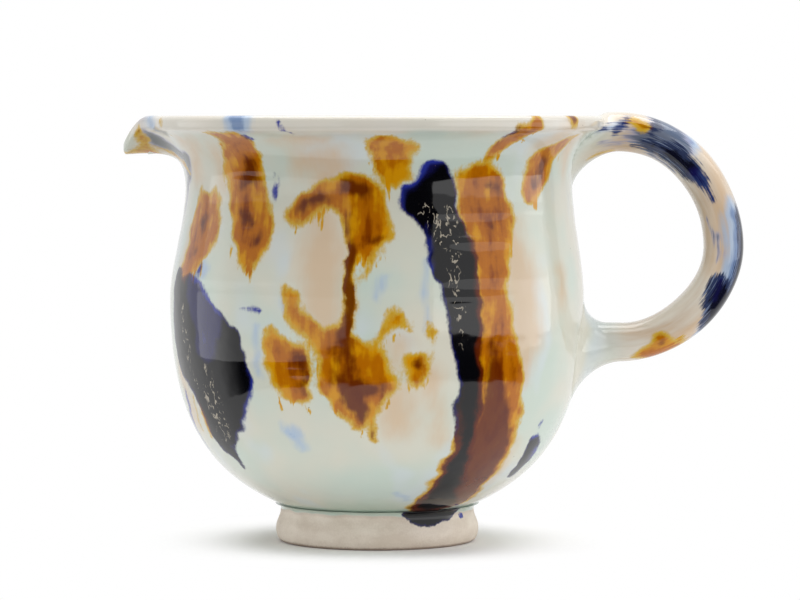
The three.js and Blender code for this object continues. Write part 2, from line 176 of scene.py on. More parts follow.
bowlMarks = {
    "iron": [
        [(-49, 76.8, 0.3), (-44, 76.4, 1.4), (-40, 75.8, 2.8)],
        [(-39.5, 74.6, 3.7), (-40.6, 72, 3.9), (-41.6, 69, 4), (-41, 66.6, 3.2), (-40, 64.2, 4.4),
         (-38.6, 60.5, 5), (-37, 57.6, 4.4), (-36.4, 55.6, 3)], [(-63, 67, 0.3), (-61.6, 64, 1.4), (-60.6, 61, 3.2)],
        [(-53.5, 67.4, 0.3), (-54.6, 64.6, 1.5), (-57.6, 61.4, 3.2)],
        [(-60, 61.4, 4.2), (-60.8, 58.6, 4.7), (-62.6, 55.6, 4.2), (-66.4, 52.6, 3)],
        [(-7.2, 68.8, 1.6), (-6.6, 66.4, 3.8), (-4, 63.6, 4.2), (-3, 60.6, 3.6), (-2.8, 58.6, 3.2),
         (-2, 57.4, 2.2), (1.2, 57.5, 1.2)],
        [(-9.6, 66.2, 2.4), (-14.6, 64.9, 2.1), (-19.6, 63.4, 2.4), (-23.8, 62.2, 1.5)],
        [(-6.4, 58, 1.5), (-6.8, 50, 0.9), (-7.1, 43.5, 1), (-7.6, 36, 1.6)], [(-0.8, 54.6, 0.6), (-2.4, 51, 0.4)],
        [(-9.8, 41, 1.8), (-9.2, 38.2, 3.8), (-7, 35.4, 5), (-5.6, 32.6, 5.6), (-4.4, 30.2, 4.2), (-4.6, 28, 3.2)],
        [(0.2, 37.2, 1.6), (1.8, 33.8, 2.2), (3, 31.6, 1.6)], [(-1.4, 28, 1.1), (-0.9, 25, 0.6), (-0.5, 22.6, 0.8)],
        [(-6.4, 27, 0.9), (-7.6, 24.8, 0.7)], [(-10, 29.6, 0.6), (-10.5, 27, 0.4)],
        [(-23.3, 48.2, 1.3), (-22.4, 45.6, 1.2), (-20.6, 43.6, 1.1), (-18, 41.6, 1.4), (-15.6, 39.6, 1.8),
         (-12.6, 37.4, 2.4)], [(8.2, 42.4, 0.7), (6, 43.7, 0.9), (3.6, 43.2, 0.8), (1.2, 41, 0.3), (0.2, 38.6, 0.4)],
        [(12.6, 43.4, 0.1), (14.6, 41, 0.4), (15.8, 37.4, 0)],
        [(8.2, 37, 0.9), (10.4, 36, 1.7), (10.6, 33.8, 1.5), (10, 31.6, 0.6)], [(13, 36.6, 0.6), (13.8, 34.2, 0.3)],
        [(-1, 74.2, 1.1), (4.4, 75, 2.2), (9.6, 74.5, 1)],
        [(4.3, 73.2, 3.6), (4.4, 71, 2.7), (4.8, 68.8, 1.5), (5.4, 67, 0.2)],
        [(-29, 40.4, 0.8), (-27, 38.4, 2.9), (-25, 36, 3.8), (-23.6, 33.6, 3.9), (-22.4, 31.8, 3.2),
         (-20.2, 30, 1.5)], [(42, 79.2, 2.1), (39, 77.2, 2.4), (35.6, 74.8, 2.2), (33.2, 72.8, 1.2)],
        [(64, 76.8, 0.6), (59.4, 74.8, 1.5), (56.4, 73, 2.4), (53.4, 70.4, 3.4), (50.4, 67.4, 2.6),
         (48.4, 64.6, 0.9)], [(57, 78.9, 1.7)],
        [(27, 68.6, 2.4), (30, 67.4, 4.6), (31.6, 64.2, 5), (33.4, 61, 5.6), (32.6, 56, 4.4), (32.4, 50, 3.6),
         (32.8, 44, 3.6), (34.8, 38, 4.5), (36.4, 32, 5), (37.4, 26, 5.2), (37.8, 20, 5.2), (38.4, 14.6, 4.6),
         (40, 10, 4)],
        [(25, 32.6, -0.6), (25.4, 27, 0), (24.6, 21.6, 0.4), (23.2, 17, 0.8), (23, 12.6, 1.1), (22.4, 9, 1.5)],
        [(31, 26, 2.6), (30.6, 20, 3.6), (30, 14, 4.4), (30.2, 9, 5.4)],
        [(-62.8, 29, 0.5), (-62.2, 25, 0.8), (-63.4, 20.6, 0.4)], [(-68, 28.6, 0.2), (-69.6, 22.6, 0.35)],
        # round the back
        [(112, 75.4, 1.8), (115, 71, 3.8), (119, 65.6, 4.6), (117, 60.4, 3.2), (120, 56, 1.2)],
        [(126, 69, 1.3), (130, 66, 1.6)],
        [(137, 58, 0.6), (139, 52, 3.4), (143, 46, 5), (141, 40, 3.8), (144, 35, 1.4), (143, 31, 0.7)],
        [(124, 32.6, 1.2), (128, 29.6, 3), (134, 26.4, 3.4), (139, 22.6, 1.6)],
        [(157, 75.4, 1.6), (163, 75, 2.6), (168, 75.4, 1.6)], [(163, 72.4, 3.4), (164, 69, 2), (164.6, 66, 0.5)],
        [(160, 67, 1.2), (163, 61, 3.2), (164.6, 54, 3.8), (163, 47, 3.2), (166, 40, 3.6), (165.6, 33, 3.2),
         (168, 26, 3.4), (169, 19, 4), (171, 12, 4.4), (172, 8.4, 4.8)],
        [(-178, 45, 0.8), (-174, 41, 3.8), (-175, 34, 5.4), (-171, 27, 3.6), (-172, 20.6, 5.2), (-169, 14, 3.8),
         (-170, 8, 4.6)],
        [(-153, 71, 1.6), (-148, 67.4, 4), (-142, 62, 5.4), (-146, 56, 4.2), (-144, 50, 2.4), (-142, 44, 1.8),
         (-146, 38, 3.2), (-150, 32, 3.6), (-149, 26, 2), (-150, 21, 0.8)], [(-138, 65.4, 2.4), (-131, 64.4, 1.6)],
        [(-154, 34, 1.6), (-160, 37, 0.8)],
        [(-118, 48, 1.2), (-114, 43, 4), (-115, 36, 5.2), (-110, 30, 3.6), (-112, 24.6, 2), (-110, 20, 0.8)],
        [(-103, 47.6, 2), (-98, 44, 2.4), (-95, 39.6, 0.8)], [(-122, 78, 1.3), (-117, 75.4, 2.4), (-112, 71.6, 1.2)],
        [(106, 21.6, 1), (110, 18.4, 2.4), (115, 16, 1.2)],
    ],
    "burnt": [  # iron laid twice, which fires dark
        [(-8.4, 67.6, 1.4), (-5, 66.4, 1.3)],
        [(-7.8, 62, 0.5), (-7.8, 56, 1.1), (-6.8, 49, 1.3), (-7, 42, 1.3), (-7.2, 36, 1.3)],
        [(-20.6, 63.1, 0.9), (-15.4, 64.5, 1.1)], [(-11.8, 41, -0.3), (-11.4, 37, 0.1), (-10.6, 33.6, -0.3)],
        [(-8.4, 33.6, 1.2), (-4.6, 31.8, 1.9), (0.6, 31.6, 1.3)], [(-5.4, 30, 1.8), (-4.4, 27.2, 1.6)],
        [(-0.8, 24.4, 0.3), (-0.5, 22.6, 0.5)], [(0.2, 57.4, 0.8)], [(10.9, 35.8, 0.9)],
        [(-39.4, 72, 0.8), (-39.4, 68.8, 1.2), (-41, 67.4, 0.8)], [(-41, 61.8, 1.1), (-38.6, 60.2, 0.6)],
        [(-34.8, 57.6, 0.7)], [(-60, 60, 1)], [(-63, 55.6, 0.8)],
        [(-22.8, 38.4, 0.1), (-20.6, 35.6, 0.8), (-19, 32, 0.7), (-18.4, 30.2, 0.4)],
        [(55.4, 72, 1), (52.4, 68.6, 0.9)], [(57, 78.9, 1.1)], [(33, 67.2, 0.5), (36, 66.6, 0.7)], [(34, 60.6, 0.6)],
        [(31.6, 44, -0.6), (32.6, 38, 0.4), (34.4, 32, 1.9), (36, 26, 3.4), (36.6, 20, 4.6), (35.4, 14, 5.2),
         (33, 8, 5.4)], [(118, 63, 1.8), (119, 58.6, 1)],
        [(165, 55, 0.8), (166, 38, 1.2), (168, 24, 2), (170, 12, 3)], [(-146, 39, 0.8), (-149, 31, 1.2)],
        [(142, 44, 1.6)], [(131, 28, 1)], [(-173, 37, 1.8), (-172, 30, 1.2)], [(-171, 18, 1.6), (-170, 10, 2.6)],
        [(163, 72, 1)], [(-142, 61, 2)], [(-110, 37, 1.4)],
    ],
    "cobalt": [
        [(8.8, 63, 0.9), (11.4, 65.8, 2.3), (14.6, 68.2, 2.2)],
        [(15.8, 69.6, 2.2), (15.8, 67.6, 3.6), (15.2, 64.6, 4.4), (16.6, 62, 3.8), (19, 59, 3.5), (21.2, 54, 3.5),
         (23.4, 47, 3.3), (25, 40, 2.8), (26.2, 34, 2.3), (27, 28, 1.9), (27.4, 23, 1.7), (27.6, 17.4, 2.2),
         (28.6, 12.6, 3.2), (29.4, 9, 4.6)],
        [(16, 6.6, 0.6), (24, 6.2, 1.2), (34, 6, 1.6), (46, 6.3, 1.2), (54, 6.7, 0.5)], [(59.5, 5.3, 0.6)],
        [(-70.5, 50.6, 1.8), (-70, 46, 4.4), (-67, 40.6, 5.6), (-64, 35.4, 5.6), (-60, 30.6, 4), (-57.6, 26, 3.2),
         (-57.4, 22, 2.2), (-55, 18.4, 1.4), (-52.6, 15.8, 0.5)], [(-59, 42, 3), (-57, 36, 3.6), (-55, 29, 3)],
        [(-63, 49, 2.2), (-57, 45.4, 3.6), (-49.6, 41.8, 3.6), (-46.4, 38, 4.6), (-44.8, 33.4, 4.8),
         (-46.6, 28.8, 4.4), (-50, 25, 3.8), (-53, 21.6, 2.4)], [(-30, 69.4, 0), (-30.4, 67, 0.4), (-30.4, 64.6, 0)],
        [(-33.4, 44.8, 0.6)], [(-38.6, 45.2, -0.1), (-35, 45.1, 0)],
        [(-37.6, 76.9, 0), (-35, 76.4, 0.3), (-33.4, 75.8, 0)],
        [(-24.6, 79.6, -0.1), (-23.8, 78, 0.2), (-21.6, 76.4, 0.1)],
        [(33, 75.8, -0.1), (34.8, 77, 0.15), (36.4, 78.4, -0.1)], [(-56.4, 53, 0.3), (-57.6, 51.4, 0.5)],
        [(59.6, 21.6, 0.6), (61, 19.4, 1.9), (61.8, 17, 2.2), (62.2, 14, 0.9)], [(58.8, 24.2, 0.4)],
        [(56.6, 20.8, 0.4)], [(-74.4, 29, 0.4), (-75.6, 23.6, 0.6), (-76.2, 18, 0.3)],
        # round the back
        [(148, 69, 1.2), (152, 65, 3.8), (154, 60, 4.8), (151, 54, 4), (154, 47, 3), (157, 40, 2.6),
         (155, 32, 1.8), (158, 25, 2.4), (160, 17, 3.4), (161, 9, 4.8)],
        [(-127, 48, 1.2), (-124, 43, 4), (-127, 37, 6), (-132, 31, 5.4), (-131, 25, 3.4), (-128, 20, 1.2)],
        [(-166, 77.6, 0.6), (-163, 75.6, 0.9), (-160, 72.6, 0.4)], [(124, 79.2, 1), (120, 78.4, 0.7)],
        [(-101, 60, 0.5), (-100, 56.4, 0.8)],
        [(103, 55, 0.6), (107, 50, 2.6), (111, 43.6, 3.4), (108, 38, 1.8), (109, 33, 0.7)],
        [(-160, 15, 0.8), (-155, 11.6, 2.2), (-149, 10.4, 1)], [(-178, 61, 0.7), (-175, 58.6, 1.2), (-173, 55, 0.6)],
        [(131, 12, 0.7), (136, 10.4, 1.3)], [(150, 6.2, 1.1), (162, 6, 1.8), (171, 6.3, 0.9)],
    ],
    "blue": [  # cobalt thin enough to fire blue
        [(5.8, 62.6, 0.3), (7.6, 68, 0.9), (11.6, 71.8, 2), (17, 72.8, 2.2)],
        [(13, 60, 0.1), (15.4, 54, 0.2), (18.2, 47, 0)],
        [(-60.6, 49.6, 2.4), (-56, 46, 4), (-52, 42.6, 4.2), (-53, 38.6, 3.2)],
        [(-37.6, 34, 0.5), (-38, 27, 1), (-44, 21.6, 0.6)], [(-30, 67, 2.6)], [(-35, 45, 3)],
        [(-38, 76.6, 1.4), (-33, 76, 1.4)], [(-23, 78, 3)], [(35, 77, 2.6)], [(58, 23, 2.6)], [(64.4, 18, 1.4)],
        [(-75, 26, 3.6), (-76, 18, 3)], [(59.5, 5.3, 1.4)], [(-57, 52.4, 2)],
        [(145, 66, 1.8), (147, 59, 1.6), (148, 53, 0.8)], [(-120, 43, 2.6), (-119, 37, 2.2)], [(-163, 75, 3)],
        [(122, 78.6, 3)], [(102, 54, 2.4), (104, 47, 1.6)], [(-156, 12, 3)], [(-100, 58, 3)], [(-175, 58, 3)],
        [(133, 11, 2)],
    ],
    "hazeAndPaintedLight": [  # iron so thin that it only warms the glaze; the beak's strokes of this kind are painted light
        [(-15, 60, 3.4), (-15.4, 54, 4.4), (-14.4, 47, 4.4), (-12.4, 41, 3)],
        [(-28, 75.8, 1), (-20, 75.4, 1.8), (-14, 75.4, 1.2)], [(-20, 71.6, 2.2), (-12, 71.6, 3), (-14, 68, 2.6)],
        [(-50, 73, 2.2), (-49.4, 67, 1.5)], [(-69, 58, 1.6), (-71, 53, 1.4)],
        [(41, 58, 3), (43, 50, 4.4), (45, 41, 4.4), (44, 34, 3.2)], [(4.6, 28.8, 3.2), (6.6, 25.2, 2.8)],
        [(5.2, 39, 2.4), (5, 35.8, 1.4)], [(14, 33.6, 2.2), (16.4, 28.6, 1.6)],
        [(50, 74.6, 1.6), (56, 76.4, 2.6), (64, 76, 3), (68, 71, 2)], [(61.6, 52, 2), (61, 47, 2.2)],
        [(19, 28, 1.2), (18.6, 22, 1.6)], [(-60, 75, 1.4), (-66, 70, 1.8)], [(-73, 33, 2.6), (-72, 24, 2.4)],
        [(45, 20, 1.8), (46, 13, 1.6)], [(126, 60, 4.6), (128, 48, 5.4), (122, 38, 3.4)],
        [(176, 56, 4.6), (180, 46, 4)], [(-153, 44, 4.4), (-158, 34, 5), (-156, 24, 3.4)],
        [(-104, 66, 3.6), (-99, 54, 3.4)], [(-126, 62, 3.4), (-122, 56, 2.4)], [(84, 20, 4), (92, 14, 3)],
        [(140, 72, 3.6)],
    ],
    "mist": [  # a breath of cobalt
        [(-37.2, 80.6, 2.2), (-37, 78.4, 2.2)], [(-34.6, 80.6, 2), (-34.8, 78.6, 2.2)], [(-24.2, 46.4, 1)],
        [(-28, 23.8, 0.4), (-25, 22.6, 0.8), (-22, 20.6, 0.3)], [(15, 55, 0.1), (12, 48, 0.2), (13, 42, 0)],
        [(8, 11.6, 0.3), (13, 9.6, 0.2)], [(-57, 54, 1), (-55, 51.6, 1.4)], [(-33.6, 41, 0.5), (-33.6, 34, 0.3)],
        [(0, 47, 0.2), (3, 52, 0.1)], [(98, 26, 2.4), (102, 21, 2)], [(-162, 62, 3.4), (-158, 54, 2.4)],
        [(170, 32, 2.4), (168, 24, 2.6)], [(-138, 50, 2)], [(112, 29, 2)],
    ],
    # painted shade and painted reflection over a grey glaze: this goes on down the neck from the band on the beak's
    # near side
    "greyAndShade": [[(-79, 66, 0.8), (-83, 60, 0.9), (-84, 53, 0.6)]],
    "crystal": [  # where the black glaze crystallised as it cooled
        [(13.6, 62.6, 1.8), (17.4, 61.6, 3), (18, 57.8, 1.6)],
        [(20.2, 57, 1), (21.6, 51, 0.9), (22.8, 45, 0.7), (24.6, 38, 0.5)],
        [(-55, 34, 0.8), (-53.6, 28, 2.2), (-53.4, 22, 1.6)], [(-68, 45, 0.8), (-64, 37, 1), (-61, 30, 0.8)],
        [(153, 60, 2.2), (152, 52, 1.4)], [(-128, 37, 2.2), (-131, 29, 1.2)], [(158, 20, 1.4)],
    ],
}
beakMarks = {  # on the same scale, laid on before the beak was bent down
    "iron": [
        [(-82, 77.7, 0.6), (-84.4, 76.2, 0.6)],
        [(-83.4, 75, 0.5), (-81.4, 72.9, 0.6), (-76, 71, 0.5), (-72, 69.4, 0.3)], [(-87.6, 76, 1.5)],
        [(-69, 78.8, 0.45), (-67, 77.8, 0.3)], [(-94, 77.6, 0.7), (-89, 77.2, 0.5)],
        [(-108, 78.4, 0.7), (-103, 76.6, 0.8)],
    ],
    "burnt": [[(-91, 77.4, 0.2)], [(-82, 77.6, 0.2)]],
    "blue": [[(-90, 79, 9)]],
    # the two strokes at the beak's tip are painted light, the table's light on the tip's underside
    "hazeAndPaintedLight": [[(-66, 75.6, 1.2), (-58, 74.4, 1.2)], [(-88, 75, 2.4)], [(-101, 74, 2.4)]],
    "mist": [[(-78, 79, 0.9), (-74.6, 78.6, 1)], [(-102, 79, 1), (-106, 78, 0.8)]],
    # the first band, down the beak's near side, is painted shade and painted reflection over a grey glaze
    "greyAndShade": [
        [(-80.5, 77.2, 1.1), (-81, 76.2, 1.6), (-80, 75, 1.9), (-76.5, 73.7, 2.1), (-71.6, 72, 2),
         (-73.6, 69.6, 1.5), (-79, 66, 1)], [(-81.4, 79.6, 0.7), (-79, 79.8, 0.5)],
        [(-100, 76.4, 0.9), (-106, 74, 1.1), (-110, 70.6, 0.8)],
    ],
}
for kind, strokes in beakMarks.items():
    bowlMarks[kind] = bowlMarks[kind] + strokes

marking = {  # how a stroke lies, in mm
    "none": -4,  # the depth where no stroke is near
    "reachUp": 9, "reachRound": 16,  # a stretch isn't felt further off than this
    "merge": 1.6, "swell": 0.4,  # strokes closer than this run together, and swell where they do
    "drifts": ((7, 1.5), (2.4, 0.8)),  # size and strength of the drift of all the edges
    "downhill": 3,  # how far the iron may run
}


def stretches(strokes, place):  # a stroke's stretches: start, change to the end, and the band that they can touch
    made, reach = [], marking["reachUp"]
    for stroke in strokes:
        points = [Vector(place(*point)) for point in stroke]
        for a, b in zip(points, points[1:] or points):
            made.append((*a, *(b - a), min(a.y, b.y) - reach, max(a.y, b.y) + reach))
    return made


def depthIn(turn, along, radius, strokes):  # how far inside the nearest edge a place is
    depth, reach, merge = marking["none"], marking["reachRound"], marking["merge"]
    for turnA, alongA, wideA, dTurn, dAlong, dWide, low, high in strokes:
        if not low < along < high:
            continue
        x = ((turn - turnA + math.pi) % (2 * math.pi) - math.pi) * radius
        if abs(x) > reach:
            continue
        y, dx = along - alongA, dTurn * radius
        share = min(1, max(0, (x * dx + y * dAlong) / (dx * dx + dAlong * dAlong + 1e-9)))
        here = wideA + dWide * share - math.hypot(x - dx * share, y - dAlong * share)
        if here > depth - merge:
            blend = max(0, 1 - abs(here - depth) / merge)
            depth = max(here, depth) + blend * blend * marking["swell"]
    return depth


def layMarks(bm, marks, places, amount=1):  # the depth in each kind of mark at every vertex
    floats, vectors = bm.verts.layers.float, bm.verts.layers.float_vector
    for kind in (*marks, "ironRun"):
        floats.new(kind)
    vectors.new("run")
    layers, runAt = {kind: floats[kind] for kind in (*marks, "ironRun")}, vectors["run"]
    for vert in bm.verts:
        turn, along, radius, grain, held = places(vert)
        vert[runAt] = grain
        drift = sum((noise.noise_vector(grain / size) * strength for size, strength in marking["drifts"]), Vector())
        x, y = turn + drift.x * amount / radius, along + drift.y * amount
        for kind, pairs in marks.items():
            vert[layers[kind]] = depthIn(x, y, radius, pairs) - held
        # how the iron would lie if it had run down
        vert[layers["ironRun"]] = depthIn(x, y + marking["downhill"], radius, marks["iron"]) - held


def layer(bm, name):  # looked up afresh, because a new layer moves the others
    return bm.verts.layers.float[name]


def ringSwell(height):
    return sum(proud * math.exp(-((height - at) / wide) ** 2) for at, proud, wide in wall["rings"])


def ridgeSwell(turn, height):
    swell = 0
    for degrees, half, at, proud, wide in wall["ridges"]:
        share = (turn - math.radians(degrees) + math.pi) % (2 * math.pi) - math.pi
        share = abs(share) / math.radians(half)
        if share < 1 and abs(height - at) < 3 * wide:
            swell += proud * (1 - share * share) * math.exp(-((height - at) / wide) ** 2)
    return swell


def bell(across, halfWidth):
    return math.cos(min(1, abs(across) / halfWidth) * math.pi / 2) ** 2


def unevenness(way, height, grain):  # noise that meets itself round the bowl
    return noise.noise(Vector((way.x * grain[0], way.y * grain[0], height * grain[1])))


def worked(point, within):  # what the hands did to a point of the true wheel shape
    w = wall
    radius = math.hypot(point.x, point.y)
    if radius < 1e-6:
        return point
    way = Vector((point.x, point.y, 0)) / radius
    fade = ease(*w["workedFrom"], point.z) * (1 - ease(*w["workedTo"], point.z))
    swell = w["wobble"] * unevenness(way, point.z, w["wobbleGrain"])
    if not within:
        strength = w["ringDepth"] + w["ringChange"] * unevenness(way, point.z, w["ringGrain"])
        swell += ringSwell(point.z + w["ringTilt"] * way.y) * max(w["ringLeast"], strength)
        swell += ridgeSwell(math.atan2(point.x, -point.y), point.z)
    made = point + way * swell * fade
    made.x += w["lean"] * ease(*w["leanFrom"], point.z) * (1 - ease(*w["leanTo"], point.z))
    if point.x < 0:
        band = w["rimHeight"] - w["rimBand"]
        pull = min(1, max(0, 1 + (point.z - band) / beak["rise"])) ** 2
        made += way * beak["reach"] * pull * bell(point.y, beak["halfWidth"])
        made.z -= beak["dip"] * pull * bell(point.y, beak["channelHalfWidth"])
    return made


def thrownWall():  # beak and all, before the beak is parted from it
    bm = bmesh.new()
    within = bm.verts.layers.float.new("within")
    w, lip = wall, wall["lipSteps"]
    under = [Vector((w["floorRadius"] * share, w["floorHeight"], 0)) for share in (0, 0.6)]
    over = [Vector((w["floorRadius"] * share, w["floorHeight"] + w["floorThickness"], 0)) for share in (0.5, 0)]
    line = [*((p, 0) for p in (*under, *outside, *inside[:lip])), *((p, 1) for p in (*inside[lip:], *over))]
    verts = []
    for point, side in line:  # side is 1 on the inner wall
        vert = bm.verts.new((point.x, 0, point.y))
        vert[within] = side
        verts.append(vert)
    spin(bm, verts, w["turns"])

    def placeOf(vert):
        co = vert.co
        turn = math.atan2(co.x, -co.y)
        radius, along = onWall(co.z)
        side = vert[layer(bm, "within")]
        if not side:
            along -= max(0, w["floorRadius"] - math.hypot(co.x, co.y))
        grain = Vector((math.sin(turn) * radius, -math.cos(turn) * radius, along))
        held = side * max(0, w["rimHeight"] - w["hang"] - co.z) * w["hangLoss"]
        return turn, along, radius, grain, held

    def place(degrees, height, half):
        return math.radians(degrees), onWall(height)[1], half

    layMarks(bm, {kind: stretches(strokes, place) for kind, strokes in bowlMarks.items()}, placeOf)
    within = layer(bm, "within")
    for vert in bm.verts:
        vert.co = worked(vert.co, vert[within] > 0.5)
    bm.normal_update()
    shading = bm.verts.layers.float_vector.new("shading")
    for vert in bm.verts:
        vert[shading] = vert.normal
    smooth(bm)
    return bm


def inBeak(face):
    middle = face.calc_center_median()
    turn = abs(math.atan2(middle.y, -middle.x))
    return middle.z > beak["jointHeight"] and turn < beakTurn


def partWall(whole, name, drop):  # keeps one side of the joint, and closes the wall where it was parted
    bm = whole.copy()
    bmesh.ops.delete(bm, geom=[f for f in bm.faces if drop(f)], context="FACES")
    rim = [e for e in bm.edges if e.is_boundary]
    edgeTurn = beakTurn - 0.005  # a hair inside the last column

    def sideOf(edge):
        turns = [math.atan2(v.co.y, -v.co.x) for v in edge.verts]
        return 1 if min(turns) > edgeTurn else -1 if max(turns) < -edgeTurn else 0

    under = [e for e in rim if sideOf(e) == 0]
    ends = [v for e in under for v in e.verts if sum(link in under for link in v.link_edges) == 1]
    corners = [bm.edges.new([v for v in ends if v.co.y * way > 0]) for way in (-1, 1)]
    for way, corner in zip((-1, 1), corners):
        bmesh.ops.edgeloop_fill(bm, edges=[e for e in rim if sideOf(e) == way] + [corner])
    bmesh.ops.edgeloop_fill(bm, edges=under + corners)
    bmesh.ops.recalc_face_normals(bm, faces=bm.faces)
    piece = finishPiece(bm, name)
    mesh = piece.data
    shading = mesh.attributes["shading"].data
    normals = [None] * len(mesh.loops)
    for face in mesh.polygons:
        for loop in face.loop_indices:
            vert = mesh.loops[loop].vertex_index
            normals[loop] = shading[vert].vector if face.use_smooth else face.normal
    mesh.normals_split_custom_set(normals)
    mesh.attributes.remove(mesh.attributes["shading"])
    return piece


whole = thrownWall()
body = partWall(whole, "thrownBody", inBeak)
spout = partWall(whole, "pouringBeak", lambda face: not inBeak(face))
whole.free()
print("wall and beak thrown:", len(body.data.polygons), len(spout.data.polygons))

# the pulled handle

handle = {
    "reach": 30, "upperDrop": 3.5, "waistDrop": 24.6, "lowerDrop": 42.6,
    "upperRadius": 40.5, "upperLift": 11.5, "upperPull": 15.8, "waistPulls": (11.2, 9), "lowerPull": 9.6,
    "lowerRun": 7.1,
    "thickness": 7.4, "width": 9.2, "fullness": 2.3,
    "stations": 220, "sides": 56,
    "upperClay": {"outside": 0.5, "across": 6.5, "inside": 7.5},  # how far the clay is worked out on to the wall
    "lowerClay": {"outside": 8, "across": 6, "inside": 4.5},
    "bury": 1.1,  # how deep the roots go into the wall
    "upperEnd": (6, 4.5, 3, 1.5), "lowerEnd": (2, 4, 6, 8, 9.5),  # steps from each end of the strap into the wall
    "spread": 0.7,  # below 1, the worked clay turns sooner from its reach across to the reach outside or inside
    "wallTop": 2.2,  # above this much below the rim the wall counts as upright
    "crown": (41, 45), "crownRise": 1.6, "rimStep": 0.1,  # where the strap rises over the rim, and by how much
    "wobble": 0.05, "wobbleGrain": 0.08,
    "girth": 4.2,  # radius that stands for its girth when marks are laid
    "drift": 0.45,  # the drift of the marks' edges here, as a share of that on the bowl
}
handleMarks = {  # (distance along the strap from inside the rim, degrees round it from its front, half width)
    "iron": [
        [(12.8, 34, 1), (14.6, 20, 1.3)], [(5.4, -56, 0.4), (9.6, -70, 0.7)],
        [(70.4, 46, 0.3), (68.6, 38, 1.1), (65.6, 24, 1.7), (65, 46, 1.8), (67.4, 58, 1.2), (62.6, 60, 0.9)],
        [(40, 150, 2), (46, 170, 1.4)],
    ],
    "burnt": [[(13, 30, 0.2), (14.8, 20, 0.4)], [(65.4, 26, 0.3)]],
    "cobalt": [
        [(11.9, 44, 0.2), (11.4, 20, 0.3), (10.4, -2, 0.1), (8.8, -14, -0.3)],
        [(6.6, -2, -0.4), (8.2, 16, -0.2), (9.6, 34, -0.4)],
        [(13.6, -30, 0.4), (17.4, -24, 1.2), (22, -16, 2), (26.4, -14, 1.7), (30, -8, 0.8), (34.2, -7, 0)],
        [(16.7, 56, 0.6), (17, 34, 0.8), (16.4, 14, 0.7)],
        [(36, 76, 0.4), (39, 68, 1.7), (42.4, 67, 2.2), (46.8, 78, 3.2), (50.6, 90, 3.8)],
        [(48.6, -4, 0.5), (51, 12, 1.8), (53, 34, 3), (54, 64, 3.8), (54.6, 100, 4.2)],
        [(22, 160, 1.6), (28, 172, 2.4), (34, 165, 1)],
    ],
    "blue": [[(10, 14, 3.4)], [(28, -10, 1.4), (34, -7, 1.6)], [(49.4, 4, 0.5), (53.6, 14, 0.3)]],
    "mist": [
        [(35.4, 42, 0.6), (38, 38, 1.8), (42, 40, 2.6), (46, 38, 2.8), (48.6, 30, 2.4)], [(11, 20, 0.4), (7, 8, 0)],
        [(19.6, 48, 1.8), (22.6, 46, 2), (24.2, 36, 0.8)], [(58, 60, 0.8), (60, 100, 1.4)],
        [(30, 150, 2.4), (38, 160, 2.2)],
    ],
    # grey glaze, with painted shade in the strokes on the strap's inner side, which faces the bowl
    "greyAndShade": [
        [(12.2, -12, 1), (15.4, -8, 1.8), (18.6, 16, 3.4), (22.4, 20, 2.2)], [(17, 66, 2), (20.4, 60, 1.6)],
        [(18, -62, 0.9), (24, -60, 0.8)], [(37.6, -42, 0.4), (41.6, -24, 0.6), (46, -18, 0.5)],
        [(8, -20, 0.5), (11, -34, 0.6)], [(20, 150, 2), (26, 140, 1.2)],
    ],
    # the strokes on the strap's inner side near its upper root are painted shade
    "hazeAndPaintedLight": [
        [(25, 58, 2), (31, 40, 3), (36, 10, 2.8), (41, -4, 3), (48, -16, 2.2)], [(8, -56, 1.6), (13, -66, 2)],
        [(12.4, 40, 2), (15.4, 16, 2.4)], [(5.6, -50, 1.4), (9, -64, 1.6)], [(57, 30, 1.2), (61, 40, 1.8)],
        [(52, 160, 3), (62, 170, 3)],
    ],
}


def strapLine():  # the strap's middle, from inside the rim to inside the belly
    h, w = handle, wall
    lift = math.radians(h["upperLift"])
    upper = Vector((h["upperRadius"], w["rimHeight"] - h["upperDrop"], 0))
    waist = Vector((w["bellyRadius"] + h["reach"] - h["thickness"] / 2, w["rimHeight"] - h["waistDrop"], 0))
    lower = Vector((w["bellyRadius"] + h["lowerRun"], w["rimHeight"] - h["lowerDrop"], 0))
    away, up, out = Vector((math.cos(lift), math.sin(lift), 0)), Vector((0, 1, 0)), Vector((1, 0, 0))
    points = [
        *(upper - away * back for back in h["upperEnd"]),
        *interpolate_bezier(upper, upper + away * h["upperPull"], waist + up * h["waistPulls"][0], waist, 90),
        *interpolate_bezier(waist, waist - up * h["waistPulls"][1], lower + out * h["lowerPull"], lower, 80)[1:],
        *(lower - out * back for back in h["lowerEnd"]),
    ]
    return [Vector((p.x, 0, p.y)) for p in points]


def evenly(points, count):  # the same line at equal steps, with the way it goes at each
    gone = [0]
    for a, b in zip(points, points[1:]):
        gone.append(gone[-1] + (b - a).length)
    made, at = [], 0
    for step in range(count + 1):
        want = gone[-1] * step / count
        while at < len(points) - 2 and gone[at + 1] < want:
            at += 1
        made.append(points[at].lerp(points[at + 1], (want - gone[at]) / (gone[at + 1] - gone[at])))
    ways = [(made[min(i + 1, count)] - made[max(i - 1, 0)]).normalized() for i in range(count + 1)]
    return made, ways, gone[-1]


def flare(stand, reach):  # a fillet that leaves the wall flat
    share = min(1, max(0, 1 - stand / reach))
    return reach * (1 - math.sqrt(1 - share * share))


def wallRadius(height):
    return onWall(min(height, wall["rimHeight"] - handle["wallTop"]))[0]


def settle(stand):  # clay past the face of the wall stays inside the wall
    return stand if stand > 0 else -handle["bury"] * math.tanh(-stand / handle["bury"])


